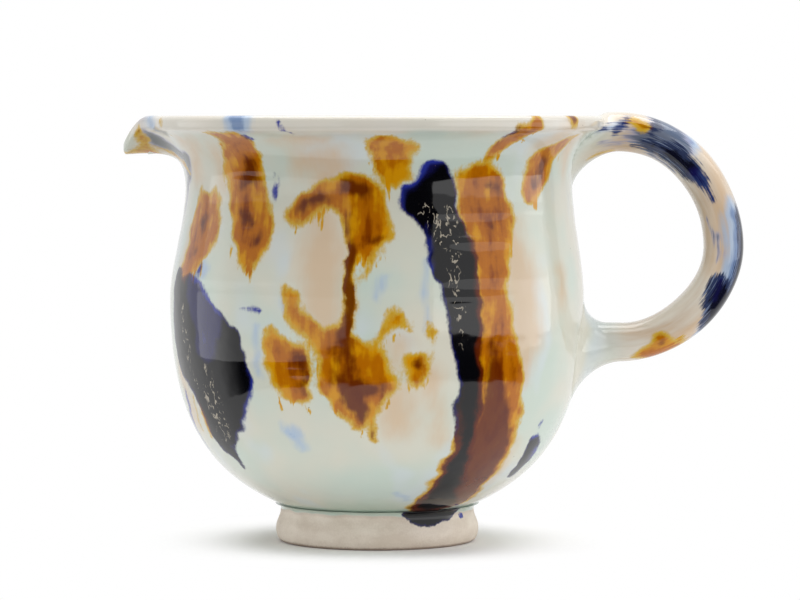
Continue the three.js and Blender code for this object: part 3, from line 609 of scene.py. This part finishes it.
def pulledStrap():
    h = handle
    centres, ways, length = evenly(strapLine(), h["stations"])
    bm = bmesh.new()
    layers = bm.verts.layers.float
    for name in ("girth", "along", "stand"):
        layers.new(name)
    girthAt, alongAt, standAt = layers["girth"], layers["along"], layers["stand"]
    ring = bmesh.ops.create_circle(bm, segments=h["sides"], radius=1)["verts"]
    for vert in ring:
        vert[girthAt] = math.atan2(vert.co.y, vert.co.x)
    edges = list(bm.edges)
    for station, (centre, way) in enumerate(zip(centres, ways)):
        if station:
            made = bmesh.ops.extrude_edge_only(bm, edges=edges)["geom"]
            ring = [g for g in made if isinstance(g, bmesh.types.BMVert)]
            held = set(ring)
            edges = [g for g in made if isinstance(g, bmesh.types.BMEdge) and held.issuperset(g.verts)]
        along = length * station / h["stations"]
        clay = h["upperClay"] if station < h["stations"] / 2 else h["lowerClay"]
        outward = Vector((-way.z, 0, way.x))
        swell = 1 + h["wobble"] * noise.noise(Vector((along * h["wobbleGrain"], 3.1, 0)))
        for vert in ring:
            up, across = math.sin(vert[girthAt]), math.cos(vert[girthAt])
            high, side = (math.copysign(abs(part) ** (2 / h["fullness"]), part) * h[size] / 2 * swell
                          for part, size in ((up, "thickness"), (across, "width")))
            point = centre + outward * high + Vector((0, side, 0))
            edge = clay["outside"] if up > 0 else clay["inside"]
            reach = clay["across"] + (edge - clay["across"]) * abs(up) ** h["spread"]
            stand = math.hypot(point.x, point.y) - wallRadius(point.z)
            spread = (point - centre).normalized() * flare(stand, reach)
            if clay is h["upperClay"]:
                spread.z = min(0, spread.z)  # level with the rim on top
            point += spread
            radius = wallRadius(point.z) + settle(stand)
            point.xy *= radius / math.hypot(point.x, point.y)
            point.z = min(point.z, wall["rimHeight"] - h["rimStep"] + h["crownRise"] * ease(*h["crown"], radius))
            vert.co = point
            vert[standAt] = max(0, stand)
            vert[alongAt] = along
    bmesh.ops.holes_fill(bm, edges=[e for e in bm.edges if e.is_boundary])
    bmesh.ops.recalc_face_normals(bm, faces=bm.faces)

    def placeOf(vert):
        around, along = vert[layer(bm, "girth")], vert[layer(bm, "along")]
        turn = math.atan2(math.sin(around), -math.cos(around))  # 0 at the front, + towards the outside
        return turn, along, h["girth"], Vector((math.cos(turn) * h["girth"], math.sin(turn) * h["girth"], along)), 0

    def place(along, degrees, half):
        return math.radians(degrees), along, half

    layMarks(bm, {kind: stretches(strokes, place) for kind, strokes in handleMarks.items()}, placeOf, h["drift"])
    smooth(bm)
    return finishPiece(bm, "loopHandle")


strap = pulledStrap()
print("handle pulled:", len(strap.data.polygons))

# the turned foot

foot = {
    "topRadius": 18.2, "topHeight": 7, "edgeRadius": 19.1, "edgeHeight": 2.4, "restOuter": 17.6, "restInner": 14.6,
    "holeRadius": 13.9, "holeHeight": 4.9, "turns": 240,
    "glazeTop": 12,  # strokes that stay above this don't come down to the foot
}


def turnedFoot():
    f = foot
    top, edge, hole = f["topRadius"], f["edgeRadius"], f["holeRadius"]
    high, low = f["topHeight"], f["edgeHeight"]
    line = [
        *curve((f["restInner"], 0), (f["restInner"] + 1, 0), (f["restOuter"] - 1, 0), (f["restOuter"], 0), count=6),
        *curve((f["restOuter"], 0), (f["restOuter"] + 0.9, 0), (edge, 0.9), (edge, low), count=12)[1:],
        *curve((edge, low), (edge, low + 1.5), (top, high - 2.4), (top, high - 1), count=16)[1:],
        *curve((top, high - 1), (top, high - 0.5), (top + 0.1, high - 0.2), (top + 1, high + 0.1), count=8)[1:],
        Vector((top - 1, high - 0.1, 0)), Vector((hole, high - 1.4, 0)),
        *curve((hole, f["holeHeight"]), (hole, 2.6), (hole, 0.2), (f["restInner"], 0), count=12),
    ]
    bm = bmesh.new()
    spin(bm, [bm.verts.new((p.x, 0, p.y)) for p in line], f["turns"])

    def placeOf(vert):
        turn = math.atan2(vert.co.x, -vert.co.y)
        grain = Vector((math.sin(turn) * top, -math.cos(turn) * top, vert.co.z))
        held = 0 if vert.co.to_2d().length > f["restInner"] + 1 else 6  # no marks inside the ring
        return turn, vert.co.z, top, grain, held

    def place(degrees, height, half):
        return math.radians(degrees), height, half

    lowest = {kind: stretches([s for s in strokes if min(height for _, height, _ in s) < f["glazeTop"]], place)
              for kind, strokes in bowlMarks.items()}
    layMarks(bm, lowest, placeOf, 0.4)
    smooth(bm)
    return finishPiece(bm, "footRing")


ring = turnedFoot()
print("foot turned:", len(ring.data.polygons))

# glazes and clay


class Value:  # a socket that takes part in Python arithmetic
    def __init__(self, finish, socket):
        self.finish, self.socket = finish, socket

    def math(self, operation, *others):
        return self.finish.node("ShaderNodeMath", {"operation": operation}, self, *others)

    def __add__(self, other):
        return self.math("ADD", other)

    def __sub__(self, other):
        return self.math("SUBTRACT", other)

    def __mul__(self, other):
        return self.math("MULTIPLY", other)

    def __rsub__(self, other):
        return self.finish.node("ShaderNodeMath", {"operation": "SUBTRACT"}, other, self)

    __radd__ = __add__

    def between(self, low, high):  # 0 below low, 1 above high, smooth between
        return self.finish.node("ShaderNodeMapRange", {"interpolation_type": "SMOOTHSTEP"}, self, low, high)


class Finish:  # the nodes of a material or of the world, and the one way they are made
    def __init__(self, owner):
        owner.use_nodes = True
        self.owner, self.tree = owner, owner.node_tree
        self.tree.nodes.clear()

    def node(self, kind, settings=None, *values, out=None, **named):
        made = self.tree.nodes.new(kind)
        for key, value in (settings or {}).items():
            setattr(made, key, value)
        sockets = [*zip([s for s in made.inputs if s.enabled], values),
                   *((made.inputs[key.replace("_", " ")], value) for key, value in named.items())]
        for socket, value in sockets:
            if isinstance(value, Value):
                self.tree.links.new(value.socket, socket)
            else:
                socket.default_value = value
        results = [made.outputs[out]] if out else [s for s in made.outputs if s.enabled]
        return Value(self, results[0]) if results else None

    def mix(self, share, low, high):  # colours
        return self.node("ShaderNodeMix", {"data_type": "RGBA"}, share, low, high)

    def attribute(self, name, out="Fac"):
        return self.node("ShaderNodeAttribute", {"attribute_name": name}, out=out)

    def rays(self, *kinds):  # 1 for each kind of ray that is named
        return [self.node("ShaderNodeLightPath", out=f"Is {kind} Ray") for kind in kinds]

    def noise(self, at, size, detail=2, long=1, shift=0):  # size across, and how many times longer it runs
        place = self.node("ShaderNodeMapping", None, at, (shift, shift, shift), (0, 0, 0),
                          (1 / size, 1 / size, 1 / size / long))
        return self.node("ShaderNodeTexNoise", None, Vector=place, Scale=1.0, Detail=detail) - 0.5

    def close(self, **sockets):
        shader = self.node("ShaderNodeBsdfPrincipled", None, **sockets)
        self.node("ShaderNodeOutputMaterial", None, shader)
        return self.owner


def paint(code):  # "#rrggbb" as the linear colour that a shader takes
    parts = [int(code[i:i + 2], 16) / 255 for i in (1, 3, 5)]
    return (*[p / 12.92 if p <= 0.04045 else ((p + 0.055) / 1.055) ** 2.4 for p in parts], 1)


glazeColours = {
    "celadon": "#b9c5bb", "cream": "#c9c6b8", "milk": "#bfc8ca", "rim": "#d1cabf", "pool": "#a3b5a4",
    "strapPale": "#cbc4b8", "strapWarm": "#b8a086", "hazeAndPaintedLight": "#c6ab8c", "pin": "#5a4c3c", "crystal": "#a39a8a",
    "mist": "#9db0c8", "wash": "#5878a6", "lilac": "#9c9aae", "ash": "#5d6266", "slate": "#525e74",
    "ironFringe": "#bd9a34", "ironThin": "#c28606", "ironMid": "#a65f02", "ironThick": "#7c3900", "burnt": "#561d02",
    "cobaltThin": "#26308a", "cobaltMid": "#141348", "cobaltThick": "#060609",
    "brushBlue": "#2b3a68", "brushGrey": "#2c3552", "brushInk": "#0f1020", "brushLine": "#7d8ba5",
}
clayColours = {"clay": "#e4d9cb", "clayDark": "#d0c2b2", "sinterAndShade": "#8d7565"}
tone = {name: paint(code) for name, code in {**glazeColours, **clayColours}.items()}
grains = {  # size across in mm, detail, how many times longer it runs, and where in the noise it is read
    "cloud": (12, 3), "blot": (3.4, 3, 1.3, 7), "streak": (0.8, 4, 9), "teeth": (1.3, 3, 7, 4), "fine": (0.5, 3, 1.6),
    "hairs": (0.32, 2, 26, 2), "bands": (2.4, 2, 7, 14), "veins": (1.5, 2, 1.8, 9), "patches": (0.9, 1, 1, 2),
}


def glazeColour(finish, run, ground, brushed):  # ground is the clear glaze, brushed is 1 where a brush dragged it
    cloud, blot, streak, teeth, fine, hairs, bands, veins, patches = (
        finish.noise(run, *grain) for grain in grains.values())
    iron, burnt, cobalt, blue, hazeAndPaintedLight, mist, greyAndShade, crystal, ironRun = (
        finish.attribute(kind) for kind in (*bowlMarks, "ironRun"))
    names = ("brushBlue", "brushGrey", "brushInk", "slate") if brushed else (
        "cobaltThin", "cobaltMid", "cobaltThick", "ash")
    thinTone, midTone, thickTone, smearAndShadeTone = (tone[name] for name in names)

    # thin iron warms the glaze; on the beak's tip and under the strap's root this is painted light and painted shade
    colour = finish.mix((hazeAndPaintedLight + streak * 1.6 + cloud * 4.0).between(-2.6, 3.6) * 0.8, ground, tone["hazeAndPaintedLight"])
    breath = mist + streak * (1.2 + brushed * 1.6) + cloud * 1.2
    breathed = finish.mix(breath.between(0.7, 1.7) * 0.9, tone["mist"], tone["wash"])
    colour = finish.mix(breath.between(-1.2, 0.9) * 0.9, colour, breathed)
    # grey glaze smeared by the brush; the grey strokes also paint shade, and on the beak painted reflection
    smearAndShade = greyAndShade + streak * (1 + brushed * 2) + hairs * (brushed * 2)
    smearAndShadeColour = finish.mix(smearAndShade.between(0.0, 1.2), tone["lilac"], smearAndShadeTone)
    colour = finish.mix(smearAndShade.between(-0.5, 0.7) * 0.92, colour, smearAndShadeColour)

    fingers = ironRun - (0.12 - teeth).between(-0.12, 0.3) * 4.5
    ragged = iron.math("SMOOTH_MAX", fingers, 0.4) + streak * 0.7 + fine * 0.9 + blot + 0.1
    thick = iron * 0.2 + blot * 2.8 + bands * 2.4 + streak + cloud * 1.2
    body = finish.mix(thick.between(-0.3, 0.5), tone["ironThin"], tone["ironMid"])
    body = finish.mix(thick.between(0.6, 1.5), body, tone["ironThick"])
    body = finish.mix((burnt + streak * 1.2 + blot * 2.4).between(-0.9, 0.9) * 0.9, body, tone["burnt"])
    body = finish.mix((ragged + burnt.math("MAXIMUM", 0.0) * 0.8).between(0.2, 1.1), tone["ironFringe"], body)
    colour = finish.mix(ragged.between(-0.45, 0.4), colour, body)

    edge = cobalt + teeth * 0.5 + fine * 0.7 + streak * (0.3 + brushed * 1.6) + hairs * (brushed * 2.4)
    overIron = ragged.between(-0.8, 0.8)
    thin = (blue + cloud * 2.0 + fine * 0.8).between(-0.8, 0.9)
    inky = finish.mix((edge + blot * 1.2).between(0.2, 1.1), thinTone, tone["cobaltMid"])
    deep = (edge + cloud * 0.8 + streak * (brushed * 1.6)).between(0.15 + brushed * 0.5, 0.6 + brushed * 0.9)
    dark = finish.mix(thin, finish.mix(deep, midTone, thickTone), inky)
    bristles = hairs.between(0.08, 0.16) * (1 - edge.between(0.8, 2.4))
    dark = finish.mix(bristles * (brushed * 0.8), dark, tone["brushLine"])
    dark = finish.mix(overIron, dark, finish.mix(edge.between(0.2, 1.4), tone["burnt"], tone["cobaltThick"]))
    colour = finish.mix(edge.between(-0.55, 0.25), colour, dark)

    lines = (1 - veins.math("ABSOLUTE").between(0.014, 0.036)) * patches.between(-0.08, 0.04)  # broken by the patches
    pale = lines * (crystal + fine * 2).between(-0.4, 0.6) * edge.between(0.8, 1.4)
    return finish.mix(pale * (0.85 - brushed * 0.85), colour, tone["crystal"])


def splashedGlaze(name, brushed):
    finish = Finish(bpy.data.materials.new(name))
    at = finish.node("ShaderNodeTexCoord", out="Object")
    place = finish.node("ShaderNodeVectorMath", {"operation": "SCALE"}, at, 1000)  # in mm
    height = finish.node("ShaderNodeSeparateXYZ", None, place, out="Z")
    run = finish.attribute("run", "Vector")
    cloud, milk = finish.noise(place, 16, 2, 1, 20), finish.noise(place, 11, 2, 1.6, 40)
    ground = finish.mix((cloud + 0.5).between(0.3, 0.7), tone["celadon"], tone["cream"])
    ground = finish.mix(milk.between(0.02, 0.2) * 0.8, ground, tone["milk"])
    ground = finish.mix((height + cloud * 2).between(76.4, 77.6) * 0.8, ground, tone["rim"])
    if brushed:
        warmth = cloud + finish.noise(run, 2, 3, 8) + 0.5
        warm = finish.mix(warmth.between(0.3, 0.8), tone["strapPale"], tone["strapWarm"])
        ground = finish.mix((finish.attribute("stand") + cloud * 8).between(1.5, 9), ground, warm)
    else:
        ground = finish.mix((1 - (height + cloud * 4).between(6.6, 10.5)) * 0.8, ground, tone["pool"])
    colour = glazeColour(finish, run, ground, brushed)
    specks = finish.node("ShaderNodeTexVoronoi", Vector=run, Scale=0.16)
    colour = finish.mix((1 - specks.between(0.012, 0.022)) * 0.8, colour, tone["pin"])
    peel = finish.noise(run, 3.6, 1)
    bump = finish.node("ShaderNodeBump", Strength=0.25, Distance=0.0002, Height=peel)
    return finish.close(Base_Color=colour, Roughness=0.06 + cloud.math("ABSOLUTE") * 0.06, Normal=bump)


def bareClay():  # bare but for what the glaze left along its top
    finish = Finish(bpy.data.materials.new("bareClay"))
    at = finish.node("ShaderNodeTexCoord", out="Object")
    height = finish.node("ShaderNodeSeparateXYZ", None, at, out="Z") * 1000  # in mm
    run = finish.attribute("run", "Vector")
    grain, cloud = finish.noise(run, 0.3, 4), finish.noise(run, 6, 3, 0.5)
    line = height + finish.noise(run, 7, 2, 9) * 1.6  # where the glaze stops
    clay = finish.mix((grain * 0.35 + cloud + 0.5).between(0.25, 0.75), tone["clay"], tone["clayDark"])
    clay = finish.mix(line.between(5.6, 6.2) * 0.25, clay, tone["sinterAndShade"])
    # painted shade: the foot is darker at its lowest edge, where it turns under onto the table
    clay = finish.mix((1 - (height + grain * 0.6).between(0.25, 0.7)) * 0.7, clay, tone["sinterAndShade"])
    glazed = line.between(6.1, 6.5)
    colour = finish.mix(glazed, clay, finish.mix(line.between(6.2, 7.4), tone["celadon"], tone["pool"]))
    black = finish.attribute("cobalt") + finish.noise(run, 0.6, 3) * 0.8
    dark = finish.mix(black.between(0.1, 0.5), tone["cobaltMid"], tone["cobaltThick"])
    dark = finish.mix(finish.attribute("blue").between(0, 0.6), dark, tone["cobaltThin"])
    colour = finish.mix(black.between(-0.15, 0.15), colour, dark)
    shine = (glazed + black.between(-0.1, 0.1)).between(0, 1)
    bump = finish.node("ShaderNodeBump", Strength=0.35, Distance=0.00012, Height=grain * (1 - shine))
    return finish.close(Base_Color=colour, Roughness=0.6 - shine * 0.53, Normal=bump)


bowlGlaze, strapGlaze = splashedGlaze("splashedGlaze", 0), splashedGlaze("strapGlaze", 1)
for piece, material, node, slot in ((body, bowlGlaze, "thrown_body", "splashed_glaze"),
                                    (spout, bowlGlaze, "pouring_beak", "splashed_glaze"),
                                    (strap, strapGlaze, "loop_handle", "handle_glaze"),
                                    (ring, bareClay(), "foot_ring", "bare_clay")):
    piece.data.materials.append(material)
    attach(piece, "root")
    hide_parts(node)
print("glazed")

# table, lights and camera

table = {"radius": 0.11, "colour": (0.95, 0.95, 0.95, 1), "fadeFrom": 0.020, "fadeTo": 0.048}
bm = bmesh.new()
bmesh.ops.create_circle(bm, cap_ends=True, segments=96, radius=table["radius"])
floorMesh = bpy.data.meshes.new("table")
bm.to_mesh(floorMesh)
bm.free()
floor = show(bpy.data.objects.new("table", floorMesh))
pale = Finish(bpy.data.materials.new("palePaper"))
at = pale.node("ShaderNodeTexCoord", out="Object")
under = pale.node("ShaderNodeVectorMath", {"operation": "SUBTRACT"}, at, bowlAxis)
away = pale.node("ShaderNodeVectorMath", {"operation": "LENGTH"}, under, out="Value")
camera, glossy, through = pale.rays("Camera", "Glossy", "Transmission")
faded = away.between(table["fadeFrom"], table["fadeTo"]) * (camera + glossy + through)
paper = pale.node("ShaderNodeBsdfDiffuse", None, table["colour"])
blank = pale.node("ShaderNodeEmission", None, (1, 1, 1, 1), 1)
pale.node("ShaderNodeOutputMaterial", None, pale.node("ShaderNodeMixShader", None, faded, paper, blank))
floor.data.materials.append(pale.owner)

lamps = {  # where the middle of each soft box stands, its width and height, and its power
    "left": {"at": (-0.69, -0.29, -0.02), "size": (1.77, 0.30), "watts": 1.6},
    "leftUpper": {"at": (-0.69, -0.29, 0.33), "size": (1.77, 0.40), "watts": 1.0},
    "right": {"at": (0.72, -0.26, 0.02), "size": (1.30, 0.22), "watts": 1.5},
    "rightUpper": {"at": (0.72, -0.26, 0.33), "size": (1.30, 0.40), "watts": 1.4},
    "rightTop": {"at": (0.72, -0.26, 0.67), "size": (1.30, 0.28), "watts": 2.2},
    "overhead": {"at": (0, 0.1, 1.1), "size": (1.3, 1.3), "watts": 15},
}
aim = Vector((bowlAxis.x, 0, 0.045))
for name, lamp in lamps.items():
    data = bpy.data.lights.new(name, "AREA")
    data.shape = "RECTANGLE"
    data.size, data.size_y = lamp["size"]
    data.energy = lamp["watts"]
    made = show(bpy.data.objects.new(name, data))
    made.location = lamp["at"]
    toward = aim - made.location if name == "overhead" else (aim - made.location) * Vector((1, 1, 0))
    made.rotation_euler = toward.to_track_quat("-Z", "Y").to_euler()
    made.visible_camera = False

room = Finish(bpy.data.worlds.new("room"))  # a white backdrop behind the pitcher, and a dim room in front of it
camera, glossy, through, diffuse = room.rays("Camera", "Glossy", "Transmission", "Diffuse")
facing = room.node("ShaderNodeSeparateXYZ", None, room.node("ShaderNodeTexCoord", out="Generated"), out="Y")
strength = camera + (glossy + through) * facing.between(-0.1, 0.25) + diffuse * 0.5
room.node("ShaderNodeOutputWorld", None, room.node("ShaderNodeBackground", None, (1, 1, 1, 1), strength))
bpy.context.scene.world = room.owner

view = {"lens": 165, "distance": 0.690, "height": 0.080, "aim": (-0.0063, 0, 0.0453)}
lens = bpy.data.cameras.new("camera")
lens.lens = view["lens"]
lens.clip_start = 0.01
eye = show(bpy.data.objects.new("camera", lens))
eye.location = (view["aim"][0], -view["distance"], view["height"])
eye.rotation_euler = (Vector(view["aim"]) - eye.location).to_track_quat("-Z", "Y").to_euler()
bpy.context.scene.camera = eye
bpy.context.scene.view_settings.view_transform = "Standard"
print("table, lights and camera set")
